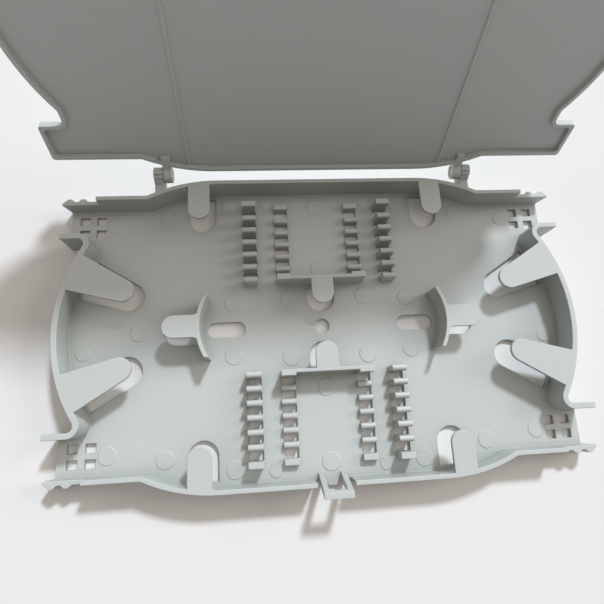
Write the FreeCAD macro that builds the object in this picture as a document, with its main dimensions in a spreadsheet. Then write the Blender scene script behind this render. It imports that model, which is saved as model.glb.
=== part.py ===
import FreeCAD, Part
import math
import os
from types import SimpleNamespace

import Sketcher

# Fibre splice tray with a hinged cover, both moulded in pale grey plastic.
# The origin is on the axis of the tray's centre hole, level with the underside. X runs along
# the tray, +Y is the hinge side and +Z is up. Lengths are millimetres and angles are degrees.
# The tray mirrors itself about both middle planes, apart from the latch and the hinge ears.

SIZES = {
    # Outline of the tray, from its middle to the outer faces
    "mid_y": 47.1,           # long wall at its middle
    "side_y": 42.2,          # long wall beside the cable ports
    "bulge_x": 53.5,         # where the long wall's bulge ends
    "bulge_r": 49.0,         # radius of the bulge
    "rim_x": 69.1,           # end of the long wall's full height
    "mouth_x": 79.2,         # edge of the floor at the cable ports
    "end_x": 79.6,           # middle of the rounded end wall
    "end_r": 49.3,           # radius of the rounded end wall
    "tongue_y": 28.4,        # outer face of the tongue between end wall and port
    "bend_r": 1.7,           # outer radius of the bend between end wall and tongue
    # Heights above the underside, and wall thicknesses
    "floor_t": 1.5,          # floor
    "rim_z": 10.2,           # rim of the walls
    "wall_t": 1.3,           # long walls
    "end_wall_t": 1.7,       # end walls and tongues
    # Low wall beside each cable port
    "lip_z": 6.7,            # its height
    "lip_x": 80.5,           # its tip, at the top of the slanted end
    "lip_bump_w": 2.1,       # each cable-tie bump on its outer face, halfway up
    "lip_bump_h": 0.9,       # how far a bump stands out
    "lip_bump_x": 74.1,      # middle of the inner bump
    "lip_bump_step": 4.1,    # from there to the outer bump
    "front_tip_x": 80.1,     # top of a front tongue's slanted end
    # Cable-tie holes at the ports
    "tie_w": 3.1,            # hole along X
    "tie_l": 2.7,            # hole along Y
    "tie_x": 72.45,          # middle of the four holes
    "tie_y": 35.35,
    "tie_step_x": 5.15,
    "tie_step_y": 4.4,
    # Retaining tabs level with the rim, each over an opening in the floor
    "tab_t": 1.2,            # thickness of a tab
    "core_gap": 1.05,        # floor opening around the tab above it
    "end_tab_x": 60.25,      # tip centre of a tab on the end wall
    "end_tab_y": 11.7,
    "end_tab_r": 3.5,        # tip radius
    "end_tab_high": 23.5,    # its root on the end wall, far side
    "end_tab_low": 12.6,     # its root on the end wall, near side
    "side_tab_x": 37.6,      # middle of a tab on the long wall
    "side_tab_y": 37.5,      # its tip centre
    "side_tab_r": 3.4,       # half its width
    # Splice combs
    "comb_w": 4.5,           # tooth along X
    "tooth_t": 1.9,          # tooth along Y
    "inner_comb_x": 11.75,   # middle of an inner comb
    "outer_comb_x": 22.2,    # middle of an outer comb
    "inner_comb_h": 2.3,     # tooth height above the floor
    "outer_comb_h": 5.5,
    "comb_y": 40.45,         # tooth next to the long wall
    "comb_first": 4.8,       # pitch from that tooth to the next
    "comb_pitch": 4.17,      # pitch of the others
    # Cross wall between the inner combs, with its own tab
    "cross_h": 7.4,          # height above the floor
    "cross_t": 1.1,          # thickness
    "cross_tab_y": 9.3,      # tip centre of its tab
    "cross_tab_r": 3.4,      # half the tab's width
    # Fibre mandrels at both ends of the middle
    "mandrel_x": 37.6,       # hollow face at its middle
    "mandrel_r": 18.3,       # radius of the hollow face
    "mandrel_t": 1.15,       # thickness
    "mandrel_y": 9.4,        # half its height across the tray
    "mandrel_tab_x": 45.2,   # tip centre of its tab
    "mandrel_tab_r": 3.4,    # half the tab's width
    "mandrel_flare": 2.5,    # fillet from the tab into the mandrel
    # Fixing holes on the middle line
    "slot_x": 30.3,          # middle of a fixing slot
    "slot_l": 11.8,          # slot along X
    "slot_w": 4.8,           # slot along Y
    "centre_hole_r": 2.3,    # hole in the middle of the tray
    # Latch loop on the front wall
    "latch_gap_x": 5.3,      # half the gap in the long wall
    "latch_floor_y": 46.4,   # edge of the floor in that gap
    "latch_x": 4.15,         # outer face of an arm
    "latch_arm_w": 1.65,     # width of an arm
    "latch_foot_y": 44.0,    # inner face of an arm, at the floor
    "latch_foot_t": 2.4,     # arm thickness at the floor
    "latch_top_y": 47.85,    # inner face of an arm, at the top
    "latch_top_t": 1.8,      # arm thickness at the top
    "latch_z": 14.0,         # top of the loop
    "latch_bar_h": 1.6,      # height of the bar across the loop
    "latch_tongue_w": 2.4,   # floor tongue between the arms
    "latch_tongue_y": 47.9,  # tip of the tongue
    # Hinge
    "hinge_y": 48.7,         # hinge axis
    "hinge_z": 10.95,
    "open_angle": 110.4,     # how far the cover stands open from closed
    "ear_x": 48.1,           # inner face of an ear
    "ear_w": 3.0,            # width of an ear
    "ear_r": 2.4,            # radius of its head
    "ear_foot": 3.05,        # front foot of the head, before the hinge axis
    "ear_groove": 0.3,       # grooves across the head, as wide as they are deep
    "ear_root_z": 3.0,       # lower end of its web on the long wall
    "pin_r": 1.25,           # moulded pin on the ear
    "pin_l": 2.6,            # its length
    "pin_clear": 0.05,       # running clearance round the pin
    "knuckle_r": 2.5,        # radius of the cover's knuckle
    "knuckle_w": 2.6,        # width of the knuckle
    "knuckle_clear": 0.1,    # gap between knuckle and ear
    "arm_reach": 3.5,        # overlap of the knuckle's arm with the plate
    # Cover
    "cover_gap": 0.2,        # closed cover above the rim
    "flap_y": 30.8,          # edge of the flap that covers a cable port
    "bead_h": 1.2,           # bead round the cover's inner face
    "bead_w": 1.2,
    "plate_t": 1.2,          # cover plate
    "rib_x": 39.8,           # straight rib on the inner face
    "rib_w": 0.8,
    "rib_h": 0.5,
    "latch_notch": 1.2,      # depth of the front notch that clears the latch
    # Nub on the back wall's inner face, left of the left-hand tab
    "nub_x": 42.2,
    "nub_z": 8.3,
    "nub_r": 0.8,
    "nub_h": 0.5,            # how far it stands out
}
ORIGIN = (-1, 1)             # a sketch's own origin point
X_AXIS = -1
Y_AXIS = -2

os.makedirs("parts", exist_ok=True)
doc = FreeCAD.newDocument("splice_tray")


class Size:
    """A number together with the formula that gives it in the document."""

    def __init__(self, value, formula):
        self.value = float(value)
        self.formula = formula

    def __add__(self, other):
        other = as_size(other)
        return Size(self.value + other.value, f"({self.formula} + {other.formula})")

    def __sub__(self, other):
        other = as_size(other)
        return Size(self.value - other.value, f"({self.formula} - {other.formula})")

    def __mul__(self, other):
        other = as_size(other)
        return Size(self.value * other.value, f"({self.formula} * {other.formula})")

    def __truediv__(self, other):
        other = as_size(other)
        return Size(self.value / other.value, f"({self.formula} / {other.formula})")

    def __neg__(self):
        return Size(-self.value, f"(-{self.formula})")


def as_size(number):
    """A plain number as a size, and a size as it is."""
    if isinstance(number, Size):
        return number
    return Size(number, repr(float(number)))


def root(size):
    """Square root of a size."""
    return Size(math.sqrt(size.value), f"sqrt({size.formula})")


def write_sheets():
    """Put the driving sizes into the document, and give them back by name."""
    sheet = doc.addObject("Spreadsheet::Sheet", "Sizes")
    sizes = SimpleNamespace()
    for row, (name, value) in enumerate(SIZES.items(), start=1):
        sheet.set(f"A{row}", name)
        sheet.set(f"B{row}", str(value))
        sheet.setAlias(f"B{row}", name)
        setattr(sizes, name, Size(value, f"Sizes.{name}"))
    return sizes


s = write_sheets()
layout = doc.addObject("Spreadsheet::Sheet", "Layout")
layout_rows = []


def place(name, size):
    """Keep a worked-out size in the layout sheet, so that formulas stay short."""
    layout_rows.append(name)
    row = len(layout_rows)
    layout.set(f"A{row}", name)
    layout.set(f"B{row}", f"={size.formula}")
    layout.setAlias(f"B{row}", name)
    return Size(size.value, f"Layout.{name}")


def across(centre, radius, y):
    """X where a circle reaches a given Y, on its +X side."""
    drop = y - centre[1]
    return centre[0] + root(radius * radius - drop * drop)


def above(centre, radius, x):
    """Y where a circle reaches a given X, on its +Y side."""
    run = x - centre[0]
    return centre[1] + root(radius * radius - run * run)


def tangent_point(centre, radius, outside, side):
    """Where the line from an outside point touches a circle, on the left (1) or right (-1)."""
    dx = outside[0] - centre[0]
    dy = outside[1] - centre[1]
    square = dx * dx + dy * dy
    along = radius * radius / square
    sideways = radius * root(square - radius * radius) / square * side
    return centre[0] + dx * along - dy * sideways, centre[1] + dy * along + dx * sideways


class Profile:
    """A sketch of closed outlines, each corner pinned to its sizes."""

    def __init__(self, body, name, plane, height=None):
        self.sketch = body.newObject("Sketcher::SketchObject", name)
        flat = [feature for feature in body.Origin.OriginFeatures if feature.Role == plane][0]
        self.sketch.AttachmentSupport = [(flat, "")]
        self.sketch.MapMode = "FlatFace"
        if height is not None:
            height = as_size(height)
            self.sketch.AttachmentOffset = FreeCAD.Placement(
                FreeCAD.Vector(0, 0, height.value), FreeCAD.Rotation())
            self.sketch.setExpression("AttachmentOffset.Base.z", height.formula)
        self.corners = []
        self.steps = []

    def to(self, x, y):
        """Go straight to a corner."""
        self.corners.append((as_size(x), as_size(y)))
        self.steps.append(None)
        return self

    def arc(self, x, y, centre, radius):
        """Go to a corner on an arc of under half a turn."""
        self.corners.append((as_size(x), as_size(y)))
        self.steps.append((as_size(centre[0]).value, as_size(centre[1]).value, as_size(radius)))
        return self

    def close(self):
        """Join the last corner to the first and pin every corner."""
        first = self.sketch.GeometryCount
        count = len(self.corners)
        ends = []
        for index in range(count):
            ends.append(self.edge(self.corners[index - 1], self.corners[index], self.steps[index]))
        for index in range(count):
            following = (index + 1) % count
            self.constrain("Coincident", first + index, ends[index][1],
                           first + following, ends[following][0])
            self.pin(first + index, ends[index][1], self.corners[index])
            if self.steps[index]:
                self.bind("Radius", [first + index], self.steps[index][2])
        self.corners = []
        self.steps = []
        return self

    def edge(self, begin, end, step):
        """One line or arc, with the numbers of its begin and end points."""
        a = FreeCAD.Vector(begin[0].value, begin[1].value, 0)
        b = FreeCAD.Vector(end[0].value, end[1].value, 0)
        if step is None:
            self.sketch.addGeometry(Part.LineSegment(a, b), False)
            return 1, 2
        centre = FreeCAD.Vector(step[0], step[1], 0)
        outward = ((a + b) * 0.5 - centre).normalize()
        through = centre + outward * step[2].value
        left_turn = (through - a).cross(b - through).z > 0
        if left_turn:
            self.sketch.addGeometry(Part.Arc(a, through, b), False)
            return 1, 2
        self.sketch.addGeometry(Part.Arc(b, through, a), False)
        return 2, 1

    def circle(self, x, y, radius):
        """A whole circle."""
        x, y, radius = as_size(x), as_size(y), as_size(radius)
        middle = FreeCAD.Vector(x.value, y.value, 0)
        upright = FreeCAD.Vector(0, 0, 1)
        index = self.sketch.addGeometry(Part.Circle(middle, upright, radius.value), False)
        self.pin(index, 3, (x, y))
        self.bind("Radius", [index], radius)
        return self

    def rectangle(self, x_low, x_high, y_low, y_high):
        """A rectangle along the sketch's axes."""
        return self.to(x_low, y_low).to(x_high, y_low).to(x_high, y_high).to(x_low, y_high).close()

    def pin(self, geometry, point, corner):
        """Tie a point to its two sizes."""
        for axis, kind, size in ((Y_AXIS, "DistanceX", corner[0]), (X_AXIS, "DistanceY", corner[1])):
            if size.value == 0:
                self.constrain("PointOnObject", geometry, point, axis)
            else:
                self.bind(kind, [*ORIGIN, geometry, point], size)

    def constrain(self, kind, *rest):
        """Add one constraint."""
        return self.sketch.addConstraint(Sketcher.Constraint(kind, *rest))

    def bind(self, kind, rest, size):
        """Add one dimension and tie it to its formula."""
        index = self.constrain(kind, *rest, size.value)
        self.sketch.setExpression(f"Constraints[{index}]", size.formula)


def settle(body, feature, merge_faces=False):
    """Make a feature the body's tip and recompute. Faces are merged once, by each mirror."""
    feature.Refine = merge_faces
    body.Tip = feature
    doc.recompute()
    return feature


def add(body, name, profile, length, back=False):
    """Pad a profile along its plane's normal, or back from it."""
    pad = body.newObject("PartDesign::Pad", name)
    pad.Profile = profile.sketch
    pad.setExpression("Length", as_size(length).formula)
    pad.Reversed = back
    return settle(body, pad)


def cut(body, name, profile, depth):
    """Pocket a profile along its plane's normal and make sure that it takes material away."""
    before = body.Tip.Shape.Volume
    pocket = body.newObject("PartDesign::Pocket", name)
    pocket.Profile = profile.sketch
    pocket.setExpression("Length", as_size(depth).formula)
    pocket.Reversed = True
    settle(body, pocket)
    if not pocket.Shape.Volume < before:
        raise RuntimeError(f"{name} cuts nothing")
    return pocket


def role(body, name):
    """One of the body's own origin planes or axes."""
    return [feature for feature in body.Origin.OriginFeatures if feature.Role == name][0]


def mirror(body, name, plane):
    """Mirror the whole body about an origin plane."""
    copy = body.newObject("PartDesign::Mirrored", name)
    copy.MirrorPlane = (role(body, plane), [""])
    copy.TransformMode = "Whole shape"
    return settle(body, copy, merge_faces=True)


def row_of(body, name, feature, length, count):
    """Repeat a feature towards the tray's middle."""
    pattern = body.newObject("PartDesign::LinearPattern", name)
    pattern.Originals = [feature]
    pattern.Direction = (role(body, "Y_Axis"), [""])
    pattern.Reversed = True
    pattern.setExpression("Length", length.formula)
    pattern.Occurrences = count
    return settle(body, pattern)


# Centres that the outlines share
bulge_drop = s.mid_y - s.side_y
bulge_start = place("bulge_start", s.bulge_x - root(s.bulge_r * bulge_drop * 2 - bulge_drop * bulge_drop))
bulge_centre = (bulge_start, s.mid_y - s.bulge_r)
end_centre = (s.end_x - s.end_r, as_size(0))
bend_y = s.tongue_y - s.bend_r
bend_centre = (place("bend_x", across(end_centre, s.end_r + s.bend_r, bend_y)), bend_y)


def bend_meets_end(inset):
    """Where the bend runs into the end wall's arc, on a line inside the outline."""
    share = (s.end_r - inset) / (s.end_r + s.bend_r)
    x = end_centre[0] + (bend_centre[0] - end_centre[0]) * share
    return x, bend_centre[1] * share


def draw_side(profile, inset, flip=False):
    """The long wall's line from the middle plane to the bulge's end, or back."""
    centre = bulge_centre
    radius = s.bulge_r - inset
    corner = (across(centre, radius, s.side_y - inset), s.side_y - inset)
    if flip:
        profile.to(*corner).arc(bulge_start, s.mid_y - inset, centre, radius)
        return profile.to(0, s.mid_y - inset)
    profile.to(0, s.mid_y - inset).to(bulge_start, s.mid_y - inset)
    return profile.arc(*corner, centre, radius)


def draw_end(profile, inset, flip=False):
    """The end wall's line from the tongue's tip to the middle plane, or back."""
    meet = bend_meets_end(inset)
    y = s.tongue_y + inset
    if flip:
        profile.to(s.end_x - inset, 0).arc(*meet, end_centre, s.end_r - inset)
        return profile.arc(bend_centre[0], y, bend_centre, s.bend_r + inset).to(s.mouth_x, y)
    profile.to(s.mouth_x, y).to(bend_centre[0], y)
    profile.arc(*meet, bend_centre, s.bend_r + inset)
    return profile.arc(s.end_x - inset, 0, end_centre, s.end_r - inset)


def draw_tab(profile, tip, radius, left, right, tip_point, back_arc=None):
    """A tab: two roots, two edges that touch the round tip, and the tip itself."""
    left_touch = tangent_point(tip, radius, left, 1)
    right_touch = tangent_point(tip, radius, right, -1)
    if back_arc:
        profile.arc(*right, *back_arc)
    else:
        profile.to(*right)
    profile.to(*right_touch).arc(*tip_point, tip, radius).arc(*left_touch, tip, radius)
    return profile.to(*left).close()


def straight_tab(profile, tip, radius, root_left, root_right):
    """A tab with parallel sides along Y whose half-round tip points to the tray's middle."""
    tip_y = tip[1] - radius
    profile.to(tip[0] - radius, root_left).to(tip[0] - radius, tip[1])
    profile.arc(tip[0], tip_y, tip, radius).arc(tip[0] + radius, tip[1], tip, radius)
    return profile.to(tip[0] + radius, root_right).close()


def build_quarter(body):
    """Floor, walls, ports, tabs and combs of the +X +Y quarter."""
    floor = Profile(body, "floor_outline", "XY_Plane").to(0, 0)
    draw_end(floor, 0, flip=True).to(s.mouth_x, s.side_y)
    draw_side(floor, 0, flip=True).close()
    add(body, "floor", floor, s.floor_t)

    side = Profile(body, "side_wall_outline", "XY_Plane")
    draw_side(side, 0).to(s.rim_x, s.side_y).to(s.rim_x, s.side_y - s.wall_t)
    draw_side(side, s.wall_t, flip=True).close()
    add(body, "side_wall", side, s.rim_z)

    end = Profile(body, "end_wall_outline", "XY_Plane")
    draw_end(end, 0)
    draw_end(end, s.end_wall_t, flip=True).close()
    add(body, "end_wall", end, s.rim_z)
    build_lip(body)
    build_tabs(body)
    build_mandrel(body)
    build_combs(body)
    build_cross_wall(body)


def build_lip(body):
    """Low wall beside the port, with bumps for cable ties and an end that slants outwards."""
    outer = s.side_y + s.lip_bump_h
    crest = (s.lip_bump_w - s.lip_bump_h) / 2
    base = (s.lip_bump_w + s.lip_bump_h) / 2
    lip = Profile(body, "lip_outline", "XY_Plane").to(s.rim_x - s.wall_t, s.side_y - s.wall_t)
    lip.to(s.lip_x, s.side_y - s.wall_t).to(s.lip_x, s.side_y - s.wall_t / 2)
    for middle in (s.lip_bump_x + s.lip_bump_step, s.lip_bump_x):
        lip.to(middle + base, s.side_y).to(middle + crest, outer)
        lip.to(middle - crest, outer).to(middle - base, s.side_y)
    lip.to(s.rim_x - s.wall_t, s.side_y).close()
    add(body, "lip", lip, s.lip_z)
    beyond = s.lip_x + s.wall_t
    slant = Profile(body, "lip_slant", "XZ_Plane", -(s.side_y + s.wall_t))
    slant.to(s.mouth_x, 0).to(beyond, 0).to(beyond, s.lip_z).to(s.lip_x, s.lip_z).close()
    cut(body, "lip_end", slant, s.wall_t * 3)


def build_tabs(body):
    """Retaining tabs on the end wall and the long wall, and the floor openings below them."""
    middle_r = s.end_r - s.end_wall_t / 2
    tip = (s.end_tab_x, s.end_tab_y)
    high = (across(end_centre, middle_r, s.end_tab_high), s.end_tab_high)
    low = (across(end_centre, middle_r, s.end_tab_low), s.end_tab_low)
    end_tab = Profile(body, "end_tab_outline", "XY_Plane", s.rim_z)
    draw_tab(end_tab, tip, s.end_tab_r, high, low, (s.end_tab_x - s.end_tab_r, s.end_tab_y))
    add(body, "end_tab", end_tab, s.tab_t, back=True)

    tip_r = s.end_tab_r + s.core_gap
    core_r = s.end_r - s.end_wall_t - s.core_gap
    core_low = s.end_tab_low - s.core_gap
    low = (across(end_centre, core_r, core_low), core_low)
    high = (across(end_centre, core_r, s.end_tab_high), s.end_tab_high)
    end_core = Profile(body, "end_core_outline", "XY_Plane")
    draw_tab(end_core, tip, tip_r, high, low, (s.end_tab_x - tip_r, s.end_tab_y), (end_centre, core_r))
    cut(body, "end_core", end_core, s.floor_t)

    tip = (s.side_tab_x, s.side_tab_y)
    middle_r = s.bulge_r - s.wall_t / 2
    left = above(bulge_centre, middle_r, s.side_tab_x - s.side_tab_r)
    right = above(bulge_centre, middle_r, s.side_tab_x + s.side_tab_r)
    side_tab = Profile(body, "side_tab_outline", "XY_Plane", s.rim_z)
    straight_tab(side_tab, tip, s.side_tab_r, left, right)
    add(body, "side_tab", side_tab, s.tab_t, back=True)

    tip_r = s.side_tab_r + s.core_gap
    core_r = s.bulge_r - s.wall_t - s.core_gap
    left = above(bulge_centre, core_r, s.side_tab_x - tip_r)
    right = above(bulge_centre, core_r, s.side_tab_x + tip_r)
    side_core = Profile(body, "side_core_outline", "XY_Plane")
    straight_tab(side_core, tip, tip_r, left, right)
    cut(body, "side_core", side_core, s.floor_t)

    ties = Profile(body, "tie_hole_outlines", "XY_Plane")
    for column in (-0.5, 0.5):
        for row in (-0.5, 0.5):
            x = s.tie_x + s.tie_step_x * column
            y = s.tie_y + s.tie_step_y * row
            ties.rectangle(x - s.tie_w / 2, x + s.tie_w / 2, y - s.tie_l / 2, y + s.tie_l / 2)
    cut(body, "tie_holes", ties, s.floor_t)


def build_combs(body):
    """Both combs of the quarter, and the floor openings between their teeth."""
    half = s.tooth_t / 2
    second_y = s.comb_y - s.comb_first
    gap = s.comb_pitch - s.tooth_t
    for name, x, height, teeth in (("outer", s.outer_comb_x, s.outer_comb_h, 6),
                                   ("inner", s.inner_comb_x, s.inner_comb_h, 5)):
        left = x - s.comb_w / 2
        right = x + s.comb_w / 2
        top = s.floor_t + height
        block = Profile(body, f"{name}_block_outline", "YZ_Plane", left)
        block.rectangle(s.comb_y - half, s.comb_y + half, 0, top)
        add(body, f"{name}_block", block, s.comb_w)

        tooth = Profile(body, f"{name}_tooth_outline", "YZ_Plane", left)
        crown = (second_y, top - half)
        tooth.to(second_y - half, 0).to(second_y + half, 0).to(second_y + half, top - half)
        tooth.arc(second_y, top, crown, half).arc(second_y - half, top - half, crown, half).close()
        tooth = add(body, f"{name}_tooth", tooth, s.comb_w)
        row_of(body, f"{name}_teeth", tooth, s.comb_pitch * (teeth - 1), teeth)

        wide = Profile(body, f"{name}_first_gap_outline", "XY_Plane")
        wide.rectangle(left, right, second_y + half, s.comb_y - half)
        cut(body, f"{name}_first_gap", wide, s.floor_t)
        slit = Profile(body, f"{name}_gap_outline", "XY_Plane")
        slit.rectangle(left, right, second_y - half - gap, second_y - half)
        slit = cut(body, f"{name}_gap", slit, s.floor_t)
        gaps = 5
        row_of(body, f"{name}_gaps", slit, s.comb_pitch * (gaps - 1), gaps)


def build_cross_wall(body):
    """Half of the cross wall that ends the inner combs, with its tab and the opening below it."""
    last_y = s.comb_y - s.comb_first - s.comb_pitch * 5
    front = last_y - s.tooth_t / 2
    back = last_y + s.tooth_t / 2
    outside = s.inner_comb_x + s.comb_w / 2
    inside = s.inner_comb_x - s.comb_w / 2
    top = s.floor_t + s.cross_h
    wall = Profile(body, "cross_wall_outline", "XY_Plane")
    wall.to(0, front).to(outside, front).to(outside, back).to(inside, back)
    wall.to(inside, front + s.cross_t).to(0, front + s.cross_t).close()
    add(body, "cross_wall", wall, top)

    tip = (0, s.cross_tab_y)
    tab = Profile(body, "cross_tab_outline", "XY_Plane", top)
    half_tab(tab, tip, s.cross_tab_r, front + s.cross_t / 2)
    add(body, "cross_tab", tab, s.tab_t, back=True)
    core = Profile(body, "cross_core_outline", "XY_Plane")
    half_tab(core, tip, s.cross_tab_r + s.core_gap, front - s.core_gap)
    cut(body, "cross_core", core, s.floor_t)


def half_tab(profile, tip, radius, root_y):
    """The +X half of a straight tab on the middle plane."""
    profile.to(0, tip[1] - radius).arc(radius, tip[1], tip, radius)
    return profile.to(radius, root_y).to(0, root_y).close()


def draw_flared(profile, centre, wall_r, tip, radius, flare):
    """Half a tab with a side along X that flares into a round wall."""
    flare_y = radius + flare
    flare_x = across(centre, wall_r + flare, flare_y)
    share = wall_r / (wall_r + flare)
    foot_x = centre[0] + (flare_x - centre[0]) * share
    profile.arc(centre[0] + wall_r, 0, centre, wall_r).to(tip + radius, 0)
    profile.arc(tip, radius, (tip, 0), radius).to(flare_x, radius)
    return profile.arc(foot_x, flare_y * share, (flare_x, flare_y), flare).close()


def build_mandrel(body):
    """Half of a bowed mandrel with its tab, the opening below the tab and the fixing slot."""
    centre = (s.mandrel_x - s.mandrel_r, as_size(0))
    outer_r = s.mandrel_r + s.mandrel_t
    inner_end = across(centre, s.mandrel_r, s.mandrel_y)
    outer_end = across(centre, outer_r, s.mandrel_y)
    wall = Profile(body, "mandrel_outline", "XY_Plane")
    wall.arc(s.mandrel_x, 0, centre, s.mandrel_r).to(s.mandrel_x + s.mandrel_t, 0)
    wall.arc(outer_end, s.mandrel_y, centre, outer_r).to(inner_end, s.mandrel_y).close()
    add(body, "mandrel", wall, s.rim_z)

    tab = Profile(body, "mandrel_tab_outline", "XY_Plane", s.rim_z)
    middle_r = outer_r - s.mandrel_t / 2
    draw_flared(tab, centre, middle_r, s.mandrel_tab_x, s.mandrel_tab_r, s.mandrel_flare)
    add(body, "mandrel_tab", tab, s.tab_t, back=True)

    core = Profile(body, "mandrel_core_outline", "XY_Plane")
    core_r = s.mandrel_tab_r + s.core_gap
    draw_flared(core, centre, outer_r, s.mandrel_tab_x, core_r, s.mandrel_flare)
    cut(body, "mandrel_core", core, s.floor_t)

    half = s.slot_w / 2
    left = s.slot_x - s.slot_l / 2 + half
    right = s.slot_x + s.slot_l / 2 - half
    slot = Profile(body, "slot_outline", "XY_Plane").arc(left - half, 0, (left, 0), half)
    slot.to(right + half, 0).arc(right, half, (right, 0), half).to(left, half).close()
    cut(body, "slot", slot, s.floor_t)

    hole = Profile(body, "centre_hole_outline", "XY_Plane").to(0, 0).to(s.centre_hole_r, 0)
    hole.arc(0, s.centre_hole_r, (0, 0), s.centre_hole_r).close()
    cut(body, "centre_hole", hole, s.floor_t)


def build_front_tongue(body):
    """The slanted end by which a front tongue reaches beyond the floor."""
    inside = s.mouth_x - s.end_wall_t
    tip = Profile(body, "front_tongue_outline", "XZ_Plane", s.tongue_y)
    tip.to(inside, 0).to(s.mouth_x, 0).to(s.front_tip_x, s.rim_z).to(inside, s.rim_z).close()
    add(body, "front_tongue", tip, s.end_wall_t)


def arm_face(height, foot, top):
    """Y of a leaning arm's face at a height above the underside, on the front side."""
    share = (height - s.floor_t) / (s.latch_z - s.floor_t)
    return -(foot + (top - foot) * share)


def build_latch(body):
    """Half of the latch loop: a gap in the front wall, a leaning arm, a bar and a floor tongue."""
    beyond = s.mid_y + s.wall_t
    gap = Profile(body, "latch_gap_outline", "XY_Plane")
    gap.rectangle(0, s.latch_gap_x, -beyond, -s.latch_floor_y)
    cut(body, "latch_gap", gap, s.rim_z)
    opening = Profile(body, "latch_opening_outline", "XY_Plane", s.floor_t)
    opening.rectangle(0, s.latch_gap_x, -beyond, -(s.mid_y - s.wall_t * 2))
    cut(body, "latch_opening", opening, s.rim_z)

    tongue = Profile(body, "latch_tongue_outline", "XY_Plane")
    half = s.latch_tongue_w / 2
    root_half = s.latch_x - s.latch_arm_w
    tongue.to(0, -s.latch_tongue_y).to(half, -s.latch_tongue_y)
    tongue.to(root_half, -s.latch_floor_y).to(0, -s.latch_floor_y).close()
    add(body, "latch_tongue", tongue, s.floor_t)

    foot_out = s.latch_foot_y + s.latch_foot_t
    top_out = s.latch_top_y + s.latch_top_t
    bar_z = s.latch_z - s.latch_bar_h
    arm = Profile(body, "latch_arm_outline", "YZ_Plane", s.latch_x - s.latch_arm_w)
    arm.to(-s.latch_foot_y, 0).to(-s.latch_foot_y, s.floor_t).to(-s.latch_top_y, s.latch_z)
    arm.to(-top_out, s.latch_z).to(-foot_out, s.floor_t).to(-foot_out, 0).close()
    add(body, "latch_arm", arm, s.latch_arm_w)

    bar = Profile(body, "latch_bar_outline", "YZ_Plane")
    bar.to(arm_face(bar_z, s.latch_foot_y, s.latch_top_y), bar_z).to(-s.latch_top_y, s.latch_z)
    bar.to(-top_out, s.latch_z).to(arm_face(bar_z, foot_out, top_out), bar_z).close()
    add(body, "latch_bar", bar, s.latch_x)


def build_ear(body):
    """Hinge ear on the back wall, with a grooved round head and a pin that points inwards."""
    middle_x = s.ear_x + s.ear_w / 2
    wall_y = above(bulge_centre, s.bulge_r - s.wall_t / 2, middle_x)
    head = (s.hinge_y, s.hinge_z)
    foot = (s.hinge_y - s.ear_foot, s.rim_z)
    front = tangent_point(head, s.ear_r, foot, -1)
    back = tangent_point(head, s.ear_r, (wall_y, s.ear_root_z), 1)
    ear = Profile(body, "ear_outline", "YZ_Plane", s.ear_x)
    ear.to(wall_y, s.rim_z).to(*foot).to(*front).arc(s.hinge_y, s.hinge_z + s.ear_r, head, s.ear_r)
    ear.arc(s.hinge_y + s.ear_r, s.hinge_z, head, s.ear_r).arc(*back, head, s.ear_r)
    ear.to(wall_y, s.ear_root_z).close()
    add(body, "ear", ear, s.ear_w)

    grooves = Profile(body, "ear_groove_outlines", "YZ_Plane", s.ear_x)
    for turn in (118, 152):
        out_y = math.cos(math.radians(turn))
        out_z = math.sin(math.radians(turn))
        for depth, side in ((1, -0.5), (-1, -0.5), (-1, 0.5), (1, 0.5)):
            reach = s.ear_r + s.ear_groove * depth
            aside = s.ear_groove * side
            grooves.to(s.hinge_y + reach * out_y - aside * out_z, s.hinge_z + reach * out_z + aside * out_y)
        grooves.close()
    cut(body, "ear_grooves", grooves, s.ear_w)

    pin = Profile(body, "pin_outline", "YZ_Plane", s.ear_x - s.pin_l).circle(*head, s.pin_r)
    add(body, "pin", pin, s.pin_l + s.ear_w / 2)


def build_nub(body):
    """Round nub on the back wall, left of the left-hand tab."""
    wall_y = above(bulge_centre, s.bulge_r - s.wall_t / 2, s.nub_x)
    nub = Profile(body, "nub_outline", "XZ_Plane", -wall_y).circle(-s.nub_x, s.nub_z, s.nub_r)
    add(body, "nub", nub, s.wall_t / 2 + s.nub_h)


def build_base():
    """The tray itself: one moulding with floor, walls, tabs, combs, mandrels, ears and latch."""
    body = doc.addObject("PartDesign::Body", "tray_base")
    build_quarter(body)
    mirror(body, "front", "XZ_Plane")
    build_front_tongue(body)
    build_latch(body)
    build_ear(body)
    mirror(body, "left", "YZ_Plane")
    build_nub(body)
    return body


def local(corner):
    """A corner of the tray's plan in the cover's own frame, whose origin is on the hinge axis."""
    return as_size(corner[0]), as_size(corner[1]) - s.hinge_y


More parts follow.
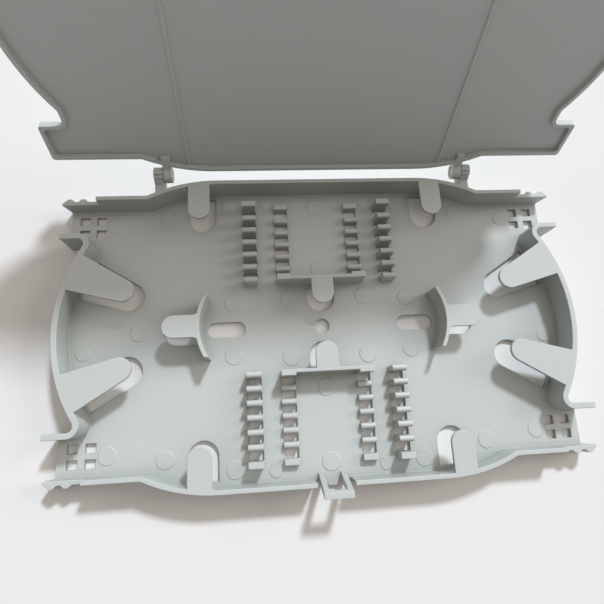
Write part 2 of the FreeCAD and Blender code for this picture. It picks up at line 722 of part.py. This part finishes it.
def cover_half(profile, inset):
    """Outline of the cover's +X half, inside the edge by the inset."""
    mouth = s.mouth_x - inset
    side = s.side_y - inset
    flap = s.flap_y + inset
    end = s.end_x - inset
    edge = s.mid_y - inset
    bulge = s.bulge_r - inset
    corner_x = across(bulge_centre, bulge, side)
    meet = bend_meets_end(inset)
    bend = s.bend_r + inset
    corner_y = s.flap_y - s.bend_r
    notch_wall = bend_centre[0] - bend
    end_r = s.end_r - inset
    notch_y = s.mid_y - s.latch_notch - inset
    notch_x = s.latch_gap_x + inset
    back_bulge = local(bulge_centre)
    front_bulge = local((bulge_centre[0], -bulge_centre[1]))
    end_middle = local(end_centre)
    profile.to(*local((0, edge)))
    profile.to(*local((0, -notch_y))).to(*local((notch_x, -notch_y))).to(*local((notch_x, -edge)))
    profile.to(*local((bulge_start, -edge))).arc(*local((corner_x, -side)), front_bulge, bulge)
    profile.to(*local((mouth, -side))).to(*local((mouth, -flap)))
    profile.to(*local((bend_centre[0], -flap)))
    profile.arc(*local((notch_wall, -corner_y)), local((bend_centre[0], -corner_y)), bend)
    profile.to(*local((notch_wall, -bend_centre[1])))
    profile.arc(*local((meet[0], -meet[1])), local((bend_centre[0], -bend_centre[1])), bend)
    profile.arc(*local((end, 0)), end_middle, end_r)
    profile.arc(*local(meet), end_middle, end_r)
    profile.arc(*local((notch_wall, bend_centre[1])), local(bend_centre), bend)
    profile.to(*local((notch_wall, corner_y)))
    profile.arc(*local((bend_centre[0], flap)), local((bend_centre[0], corner_y)), bend)
    profile.to(*local((mouth, flap))).to(*local((mouth, side))).to(*local((corner_x, side)))
    profile.arc(*local((bulge_start, edge)), back_bulge, bulge)
    return profile.close()


def build_cover():
    """The cover: a plate with the tray's outline, a bead, ribs and two hinge knuckles."""
    body = doc.addObject("PartDesign::Body", "hinged_cover")
    bead_z = s.rim_z + s.cover_gap - s.hinge_z
    inner_z = bead_z + s.bead_h
    outer_z = inner_z + s.plate_t
    plate = cover_half(Profile(body, "plate_outline", "XY_Plane", inner_z), as_size(0))
    add(body, "plate", plate, s.plate_t)
    rim = cover_half(Profile(body, "bead_outline", "XY_Plane", bead_z), as_size(0))
    add(body, "bead", rim, s.bead_h)
    inside = cover_half(Profile(body, "bead_inside", "XY_Plane", bead_z), s.bead_w)
    cut(body, "bead_hollow", inside, s.bead_h)

    rib = Profile(body, "rib_outline", "XY_Plane", inner_z)
    half = s.rib_w / 2
    reach = above(bulge_centre, s.bulge_r - s.bead_w / 2, s.rib_x + half)
    rib.rectangle(s.rib_x - half, s.rib_x + half, -reach - s.hinge_y, reach - s.hinge_y)
    add(body, "rib", rib, s.rib_h, back=True)

    outside = s.ear_x - s.knuckle_clear
    arm_y = above(bulge_centre, s.bulge_r, outside - s.knuckle_w) - s.hinge_y - s.arm_reach
    knuckle = Profile(body, "knuckle_outline", "YZ_Plane", outside - s.knuckle_w)
    knuckle.circle(0, 0, s.knuckle_r)
    add(body, "knuckle", knuckle, s.knuckle_w)
    arm = Profile(body, "arm_outline", "YZ_Plane", outside - s.knuckle_w)
    arm.rectangle(arm_y, 0, bead_z, outer_z)
    add(body, "arm", arm, s.knuckle_w)
    bore = Profile(body, "bore_outline", "YZ_Plane", outside - s.knuckle_w)
    bore.circle(0, 0, s.pin_r + s.pin_clear)
    cut(body, "bore", bore, s.knuckle_w)
    mirror(body, "left_half_of_cover", "YZ_Plane")

    body.Placement = FreeCAD.Placement(
        FreeCAD.Vector(0, s.hinge_y.value, s.hinge_z.value),
        FreeCAD.Rotation(FreeCAD.Vector(-1, 0, 0), s.open_angle.value))
    body.setExpression("Placement.Base.y", s.hinge_y.formula)
    body.setExpression("Placement.Base.z", s.hinge_z.formula)
    body.setExpression("Placement.Rotation.Angle", f"{s.open_angle.formula} * 1 deg")
    doc.recompute()
    return body


def check_document():
    """Stop if any object of the document failed to compute."""
    for item in doc.Objects:
        if "Invalid" in item.State or "Error" in item.State:
            raise RuntimeError(f"{item.Name} failed: {item.State}")


def export(body):
    """Write one sub-part's solid to its own file."""
    shape = body.Shape
    if shape.isNull() or not shape.isValid() or len(shape.Solids) != 1:
        raise RuntimeError(f"{body.Label} is not one valid solid")
    shape.exportStep(f"parts/{body.Label}.step")
    print(body.Label, "volume", round(shape.Volume, 1), "faces", len(shape.Faces))


pieces = [build_base(), build_cover()]
check_document()
for piece in pieces:
    export(piece)
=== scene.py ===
import math

import bmesh
import bpy
from mathutils import Euler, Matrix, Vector


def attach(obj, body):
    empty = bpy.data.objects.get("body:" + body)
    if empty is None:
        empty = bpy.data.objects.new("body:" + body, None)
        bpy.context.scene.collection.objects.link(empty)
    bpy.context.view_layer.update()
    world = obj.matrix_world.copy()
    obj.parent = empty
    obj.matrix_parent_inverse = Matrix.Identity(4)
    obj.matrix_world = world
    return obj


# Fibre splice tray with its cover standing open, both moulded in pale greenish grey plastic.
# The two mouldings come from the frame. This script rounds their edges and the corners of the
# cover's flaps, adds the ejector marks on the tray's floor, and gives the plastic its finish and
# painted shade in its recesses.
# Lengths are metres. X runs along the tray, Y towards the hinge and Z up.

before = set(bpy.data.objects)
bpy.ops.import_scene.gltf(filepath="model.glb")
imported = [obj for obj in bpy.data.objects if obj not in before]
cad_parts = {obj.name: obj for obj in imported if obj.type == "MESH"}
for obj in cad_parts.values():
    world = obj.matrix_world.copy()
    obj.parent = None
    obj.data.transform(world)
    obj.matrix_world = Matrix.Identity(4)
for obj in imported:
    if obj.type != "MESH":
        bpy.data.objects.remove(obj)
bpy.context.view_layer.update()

MM = 0.001

# Plastic: the colours that its tint lies between, that of its dirt, and the painted shade in its recesses
# and down in the tray
PLASTIC = (0.588, 0.628, 0.624)
PLASTIC_WARM = (0.604, 0.628, 0.606)
PLASTIC_GRIME = (0.420, 0.476, 0.400)
PLASTIC_PAINTED_SHADE = (0.270, 0.285, 0.245)
PLASTIC_ROUGHNESS = 0.34
PLASTIC_GLOSS = 0.4
PLASTIC_IOR = 1.46

# Its patterns, as features a metre, detail and roughness, and the levels between which a sparse
# one shows
CLOUDS = (38.0, 3.0, 0.55)
PATCHES = (160.0, 4.0, 0.6)
SPECKS = (900.0, 2.0, 0.5)
SPECK_LEVELS = (0.70, 0.76)
SCUFFS = (120.0, 2.0, 0.5)
SCUFF_LEVELS = (0.66, 0.72)
SCUFF_TURN = (0, 0, 0.6)
SCUFF_STRETCH = (1.0, 26.0, 1.0)
GRAIN = (5200.0, 2.0, 0.5)
WAVES = (90.0, 1.0, 0.4)

# How much of each goes into the colour, the roughness and the bumps
WARM_SHARE = 0.9
PATCH_SHARE = 0.08
SPECK_SHARE = 0.07
# Shares of painted shade: darkening down in the tray and in tight recesses
DEPTH_SHADE_SHARE = 0.6
RECESS_SHADE_SHARE = 0.75
PATCH_ROUGH = 0.08
SCUFF_ROUGH = 0.06
GRAIN_SHARE = 0.25
BUMP_STRENGTH = 0.12
BUMP_HEIGHT = 0.05 * MM

# How far walls reach for the painted shade between them: in tight recesses, and down in the tray
RECESS_SHADE_REACH = 3.0 * MM
RECESS_SHADE_CURVE = 1.6
DEPTH_SHADE_REACH = 18.0 * MM
OPENNESS_SAMPLES = 8

# Moulded edges
EDGE_ROUND = 0.2 * MM
EDGE_STEPS = 2
BEVEL_ANGLE = math.radians(38)
SMOOTH_ANGLE = math.radians(50)
FLAT_ANGLE = math.radians(0.4)
WELD_GAP = 0.002 * MM
FACE_WEIGHT = 100

# Corners of the cover's flaps: edges that run through the open cover, further out than FLAP_FROM
CORNER_ROUND = 1.0 * MM
CORNER_STEPS = 5
COVER_ANGLE = math.radians(110.4)
COVER_THROUGH = (0.0, math.sin(COVER_ANGLE), math.cos(COVER_ANGLE))
NEARLY_ALONG = 0.9
FLAP_FROM = 54 * MM

# Ejector marks: middle and radius in millimetres, first those that all four quarters share
FLOOR_TOP = 1.5 * MM
MARK_HEIGHT = 0.18 * MM
MARK_BEVEL = 0.25 * MM
MARK_STEPS = 48
MARKS_BY_FOUR = [(65.2, 35.6, 2.75), (48.7, 37.8, 2.75), (28.5, 41.8, 2.75), (16.6, 42.8, 2.0),
                 (28.2, 8.5, 2.75)]
MARKS_ALONE = [(0, 41.0, 2.85), (0, -41.2, 2.85), (0, 18.9, 2.75), (0, -19.3, 2.75),
               (-10.3, 9.5, 2.85), (-10.3, -9.5, 2.85), (14.0, 9.6, 2.8), (14.0, -9.6, 2.8),
               (-57.2, 0.0, 2.75), (-73.5, -5.6, 2.4), (73.4, -5.8, 2.6)]

# Camera at the photograph's place
CAMERA_PLACE = Vector((-18.685, -26.446, 143.434)) * MM
CAMERA_TURN = (13.893, -4.299, -3.261)
CAMERA_LENS = 27.05
SENSOR_WIDTH = 36.0
CAMERA_REACH = (0.005, 10.0)

# Light: a key from behind the cover on the right, a weak soft one low at the right, and a fill
# that is brightest overhead
KEY_TOWARDS = Vector((0.43, 0.87, 1.0))
KEY_STRENGTH = 2.3
KEY_COLOUR = (0.89, 0.975, 1.06)
KEY_SOFTNESS = math.radians(7)
SIDE_TOWARDS = Vector((0.52, 0.14, 0.30))
SIDE_STRENGTH = 0.72
SIDE_COLOUR = (1.06, 0.99, 0.92)
SIDE_SOFTNESS = math.radians(24)
FILL_COLOUR = (1.08, 0.985, 0.92)
FILL_LEVEL = 0.05
FILL_OVERHEAD = 0.79
FILL_NARROWING = 3.0
FILL_BACK = 0.16
FILL_RIGHT = 0.06
FILL_LEAST = 0.02
WHITE = (1.0, 1.0, 1.0)

# The floor under the tray
FLOOR_COLOUR = (0.857, 0.853, 0.840)
FLOOR_HALF = 3.0
FLOOR_GAP = 0.02 * MM


class Wire:
    """A node socket that joins in arithmetic, so that shader maths reads as an expression."""

    def __init__(self, graph, socket):
        self.graph = graph
        self.socket = socket

    def maths(self, operation, first, second):
        return self.graph.node("ShaderNodeMath", {"operation": operation}, {0: first, 1: second})

    def __add__(self, other):
        return self.maths("ADD", self, other)

    def __radd__(self, other):
        return self.maths("ADD", other, self)

    def __sub__(self, other):
        return self.maths("SUBTRACT", self, other)

    def __rsub__(self, other):
        return self.maths("SUBTRACT", other, self)

    def __mul__(self, other):
        return self.maths("MULTIPLY", self, other)

    def __rmul__(self, other):
        return self.maths("MULTIPLY", other, self)

    def __pow__(self, other):
        return self.maths("POWER", self, other)

    def at_least(self, other):
        return self.maths("MAXIMUM", self, other)

    def at_most(self, other):
        return self.maths("MINIMUM", self, other)

    def above(self, limit):
        return self.maths("GREATER_THAN", self, limit)

    def below(self, limit):
        return self.maths("LESS_THAN", self, limit)


class Graph:
    """The nodes of one material, of the world or of a geometry group."""

    def __init__(self, tree):
        self.tree = tree
        tree.nodes.clear()

    def node(self, kind, settings=None, inputs=None, output=0):
        """Add a node: its settings first, then the values or links of its sockets."""
        made = self.tree.nodes.new(kind)
        for name, value in (settings or {}).items():
            setattr(made, name, value)
        for key, value in (inputs or {}).items():
            if isinstance(value, Wire):
                self.tree.links.new(value.socket, made.inputs[key])
            else:
                made.inputs[key].default_value = value
        return Wire(self, made.outputs[output])

    def noise(self, place, pattern):
        """Cloudy noise from 0 to 1, in a pattern of features a metre, detail and roughness."""
        scale, detail, roughness = pattern
        inputs = {"Vector": place, "Scale": scale, "Detail": detail, "Roughness": roughness}
        return self.node("ShaderNodeTexNoise", {}, inputs)

    def openness(self, reach):
        """1 on an open face, and less where walls stand round it within a reach."""
        return self.node("ShaderNodeAmbientOcclusion", {"samples": OPENNESS_SAMPLES},
                         {"Distance": reach}, "AO")

    def ramp(self, value, levels):
        """0 below the low level, 1 above the high one, and an even climb between."""
        low, high = levels
        return self.node("ShaderNodeMapRange", {}, {"Value": value, "From Min": low, "From Max": high})

    def blend(self, share, first, second):
        """Mix two colours by a share."""
        return self.node("ShaderNodeMix", {"data_type": "RGBA"}, {"Factor": share, 6: first, 7: second}, 2)

    def finish(self, kind, result):
        """Send the result out: a shader to the surface, or a mesh out of its group."""
        end = self.tree.nodes.new(kind)
        self.tree.links.new(result.socket, end.inputs[0])


def new_material(name):
    """An empty material and its graph."""
    material = bpy.data.materials.new(name)
    material.use_nodes = True
    return material, Graph(material.node_tree)


def colour(rgb):
    return (*rgb, 1.0)


def show(name, data):
    """Add an object of that data to the scene."""
    shown = bpy.data.objects.new(name, data)
    bpy.context.scene.collection.objects.link(shown)
    return shown


def pale_plastic():
    """Moulded plastic: cloudy tint, fine grain, faint scuffs and painted shade in its recesses and down in
    the tray.
    """
    material, graph = new_material("pale_plastic")
    place = graph.node("ShaderNodeTexCoord", output="Object")
    clouds = graph.noise(place, CLOUDS)
    patches = graph.noise(place, PATCHES)
    specks = graph.ramp(graph.noise(place, SPECKS), SPECK_LEVELS)
    stretched = graph.node("ShaderNodeMapping", {},
                           {"Vector": place, "Rotation": SCUFF_TURN, "Scale": SCUFF_STRETCH})
    scuffs = graph.ramp(graph.noise(stretched, SCUFFS), SCUFF_LEVELS)
    # Painted shade: the colour darkens to a shade tone where walls stand close round a face, in tight
    # recesses and down in the tray
    recess_shade = (1.0 - graph.openness(RECESS_SHADE_REACH)) ** RECESS_SHADE_CURVE
    depth_shade = 1.0 - graph.openness(DEPTH_SHADE_REACH)
    tint = graph.blend(clouds * WARM_SHARE, colour(PLASTIC), colour(PLASTIC_WARM))
    mottled = graph.blend(patches * PATCH_SHARE, tint, colour(PLASTIC_GRIME))
    speckled = graph.blend(specks * SPECK_SHARE, mottled, colour(PLASTIC_GRIME))
    depth_shaded = graph.blend(depth_shade * DEPTH_SHADE_SHARE, speckled, colour(PLASTIC_PAINTED_SHADE))
    base = graph.blend(recess_shade * RECESS_SHADE_SHARE, depth_shaded, colour(PLASTIC_PAINTED_SHADE))
    rough = PLASTIC_ROUGHNESS + patches * PATCH_ROUGH + scuffs * SCUFF_ROUGH
    grain = graph.noise(place, GRAIN)
    waves = graph.noise(place, WAVES)
    bump = graph.node("ShaderNodeBump", {}, {"Strength": BUMP_STRENGTH, "Distance": BUMP_HEIGHT,
                                             "Height": grain * GRAIN_SHARE + waves}, "Normal")
    shader = graph.node("ShaderNodeBsdfPrincipled", {},
                        {"Base Color": base, "Roughness": rough, "Normal": bump, "IOR": PLASTIC_IOR,
                         "Specular IOR Level": PLASTIC_GLOSS})
    graph.finish("ShaderNodeOutputMaterial", shader)
    return material


def new_group(name):
    """An empty geometry group, its graph and the mesh that enters it."""
    group = bpy.data.node_groups.new(name, "GeometryNodeTree")
    for way in ("INPUT", "OUTPUT"):
        group.interface.new_socket("Geometry", in_out=way, socket_type="NodeSocketGeometry")
    graph = Graph(group)
    return group, graph, graph.node("NodeGroupInput")


def smooth_group():
    """Shade smooth wherever two faces meet at a small angle."""
    group, graph, mesh = new_group("smooth_walls")
    angle = graph.node("GeometryNodeInputMeshEdgeAngle")
    faces = graph.node("GeometryNodeSetShadeSmooth", {}, {"Geometry": mesh})
    edges = graph.node("GeometryNodeSetShadeSmooth", {"domain": "EDGE"},
                       {"Geometry": faces, "Shade Smooth": angle.below(SMOOTH_ANGLE)})
    graph.finish("NodeGroupOutput", edges)
    return group


def corner_group():
    """Mark the corners of the cover's flaps, whose edges run through its thickness."""
    group, graph, mesh = new_group("flap_corners")
    angle = graph.node("GeometryNodeInputMeshEdgeAngle")
    first, second = (graph.node("GeometryNodeInputMeshEdgeVertices", output=end)
                     for end in ("Position 1", "Position 2"))
    line = graph.node("ShaderNodeVectorMath", {"operation": "SUBTRACT"}, {0: first, 1: second})
    way = graph.node("ShaderNodeVectorMath", {"operation": "NORMALIZE"}, {0: line})
    through = graph.node("ShaderNodeVectorMath", {"operation": "DOT_PRODUCT"},
                         {0: way, 1: COVER_THROUGH}, "Value")
    place = graph.node("GeometryNodeInputPosition")
    across = graph.node("ShaderNodeSeparateXYZ", {}, {"Vector": place}, "X")
    on_flap = (across * across).above(FLAP_FROM ** 2)
    corner = angle.above(BEVEL_ANGLE) * (through * through).above(NEARLY_ALONG) * on_flap
    marked = graph.node("GeometryNodeStoreNamedAttribute", {"data_type": "FLOAT", "domain": "EDGE"},
                        {"Geometry": mesh, "Name": "bevel_weight_edge", "Value": corner})
    graph.finish("NodeGroupOutput", marked)
    return group


def bevel(piece, name, width, steps, limit):
    """A rounding of the edges that the limit names."""
    edge = piece.modifiers.new(name, "BEVEL")
    edge.width = width
    edge.segments = steps
    edge.limit_method = limit
    edge.use_clamp_overlap = False
    return edge


def round_edges(piece, corners):
    """Join the facets of a moulding, round its sharp edges and shade its curved walls smooth."""
    weld = piece.modifiers.new("weld", "WELD")
    weld.merge_threshold = WELD_GAP
    flat = piece.modifiers.new("flat_faces", "DECIMATE")
    flat.decimate_type = "DISSOLVE"
    flat.angle_limit = FLAT_ANGLE
    if corners:
        piece.modifiers.new("flap_corners", "NODES").node_group = CORNERS
        bevel(piece, "corner_round", CORNER_ROUND, CORNER_STEPS, "WEIGHT")
    edge = bevel(piece, "moulded_edges", EDGE_ROUND, EDGE_STEPS, "ANGLE")
    edge.angle_limit = BEVEL_ANGLE
    edge.miter_outer = "MITER_SHARP"
    piece.modifiers.new("smooth_walls", "NODES").node_group = SMOOTH
    level = piece.modifiers.new("level_faces", "WEIGHTED_NORMAL")
    level.keep_sharp = True
    level.weight = FACE_WEIGHT


SMOOTH = smooth_group()
CORNERS = corner_group()
MOULDING = pale_plastic()

for name in ("tray_base", "hinged_cover"):
    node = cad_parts[name]
    for slot in node.material_slots:
        slot.material = MOULDING
    round_edges(node, corners=name == "hinged_cover")


def ring(mesh, x, y, radius, height):
    """Points of a circle round a mark's middle, at a height above the floor."""
    turns = (math.tau * step / MARK_STEPS for step in range(MARK_STEPS))
    return [mesh.verts.new((x + radius * math.cos(turn), y + radius * math.sin(turn), FLOOR_TOP + height))
            for turn in turns]


def ejector_marks():
    """Low round discs that the ejector pins left on the floor."""
    places = [(sx * x, sy * y, r) for x, y, r in MARKS_BY_FOUR for sx in (-1, 1) for sy in (-1, 1)]
    mesh = bmesh.new()
    for x, y, radius in places + MARKS_ALONE:
        x, y, radius = x * MM, y * MM, radius * MM
        rings = [ring(mesh, x, y, radius, -MARK_HEIGHT), ring(mesh, x, y, radius, 0.0),
                 ring(mesh, x, y, radius - MARK_BEVEL, MARK_HEIGHT)]
        for lower, upper in zip(rings, rings[1:]):
            for step in range(MARK_STEPS):
                following = (step + 1) % MARK_STEPS
                mesh.faces.new((lower[step], lower[following], upper[following], upper[step]))
        mesh.faces.new(rings[-1])
        mesh.faces.new(reversed(rings[0]))
    data = bpy.data.meshes.new("ejector_marks")
    mesh.to_mesh(data)
    mesh.free()
    data.materials.append(MOULDING)
    piece = show("ejector_marks", data)
    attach(piece, "tray")


ejector_marks()


def place_camera():
    data = bpy.data.cameras.new("camera")
    data.lens = CAMERA_LENS
    data.sensor_width = SENSOR_WIDTH
    data.clip_start, data.clip_end = CAMERA_REACH
    camera = show("camera", data)
    camera.location = CAMERA_PLACE
    camera.rotation_euler = Euler([math.radians(turn) for turn in CAMERA_TURN], "XYZ")
    bpy.context.scene.camera = camera


def place_lamp(name, towards, strength, rgb, softness):
    """A far lamp in a direction from the tray."""
    data = bpy.data.lights.new(name, "SUN")
    data.energy = strength
    data.color = rgb
    data.angle = softness
    show(name, data).rotation_euler = towards.to_track_quat("Z", "Y").to_euler()


def light_room():
    """World: fill for the object, white where the camera, a reflection or clear plastic looks at it."""
    world = bpy.data.worlds.new("room")
    bpy.context.scene.world = world
    world.use_nodes = True
    graph = Graph(world.node_tree)
    way = graph.node("ShaderNodeTexCoord", output="Generated")
    right, back, height = (graph.node("ShaderNodeSeparateXYZ", {}, {"Vector": way}, axis) for axis in "XYZ")
    overhead = height.at_least(0.0) ** FILL_NARROWING
    level = FILL_LEVEL + overhead * FILL_OVERHEAD + back * FILL_BACK + right * FILL_RIGHT
    fill = graph.node("ShaderNodeBackground", {},
                      {"Color": colour(FILL_COLOUR), "Strength": level.at_least(FILL_LEAST)})
    white = graph.node("ShaderNodeBackground", {}, {"Color": colour(WHITE)})
    seen = graph.node("ShaderNodeLightPath", output="Is Camera Ray")
    mirrored = graph.node("ShaderNodeLightPath", output="Is Glossy Ray")
    passed = graph.node("ShaderNodeLightPath", output="Is Transmission Ray")
    share = (seen + mirrored + passed).at_most(1.0)
    room = graph.node("ShaderNodeMixShader", {}, {0: share, 1: fill, 2: white})
    graph.finish("ShaderNodeOutputWorld", room)


def pale_floor():
    """A wide pale floor that keeps the object's shadow."""
    corners = [(x * FLOOR_HALF, y * FLOOR_HALF, 0) for x, y in ((-1, -1), (1, -1), (1, 1), (-1, 1))]
    data = bpy.data.meshes.new("floor")
    data.from_pydata(corners, [], [(0, 1, 2, 3)])
    material, graph = new_material("pale_floor")
    shader = graph.node("ShaderNodeBsdfDiffuse", {}, {"Color": colour(FLOOR_COLOUR)})
    graph.finish("ShaderNodeOutputMaterial", shader)
    data.materials.append(material)
    floor = show("floor", data)
    floor.location.z = -FLOOR_GAP


place_camera()
place_lamp("key", KEY_TOWARDS, KEY_STRENGTH, KEY_COLOUR, KEY_SOFTNESS)
place_lamp("side", SIDE_TOWARDS, SIDE_STRENGTH, SIDE_COLOUR, SIDE_SOFTNESS)
light_room()
pale_floor()

bpy.context.scene.view_settings.view_transform = "Standard"
